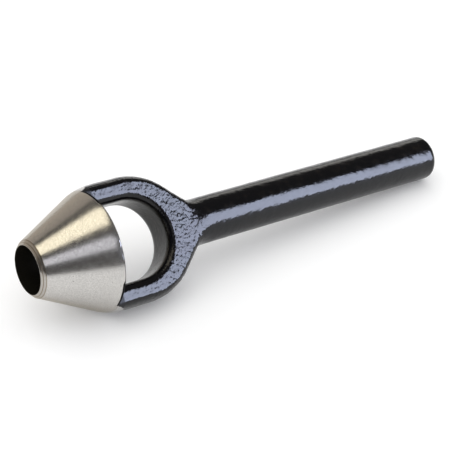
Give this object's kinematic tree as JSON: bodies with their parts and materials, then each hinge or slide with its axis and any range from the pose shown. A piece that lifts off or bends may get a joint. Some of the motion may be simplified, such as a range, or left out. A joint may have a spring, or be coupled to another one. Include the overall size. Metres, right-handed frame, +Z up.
{
  "type": "drive hole punch",
  "caption": "Struck hollow punch: ground conical cutting head with a through bore, forged bow with a slug opening, and a round handle.",
  "frame": {"origin": "middle of the floor footprint (centre of the bounding box in X and Y, z = 0 at the lowest point), with the tool lying at rest", "axes": "+X along the tool from the cutting edge to the struck end (the tool's own axis dips 5.0 degrees towards the struck end), +Z up from the floor, +Y to the side of the upper arm"},
  "size_m": [0.1662, 0.04, 0.0399],
  "materials": {
    "ground_steel": "satin ground tool steel with fine pits",
    "black_lacquer": "glossy black lacquer over forged scale",
    "weld_lacquer": "lacquered weld fillet"
  },
  "bodies": {
    "root": {"cutting_head": "ground_steel", "bow": "black_lacquer", "handle": "black_lacquer", "weld_upper_arm": "weld_lacquer", "weld_lower_arm": "weld_lacquer"}
  },
  "joints": []
}
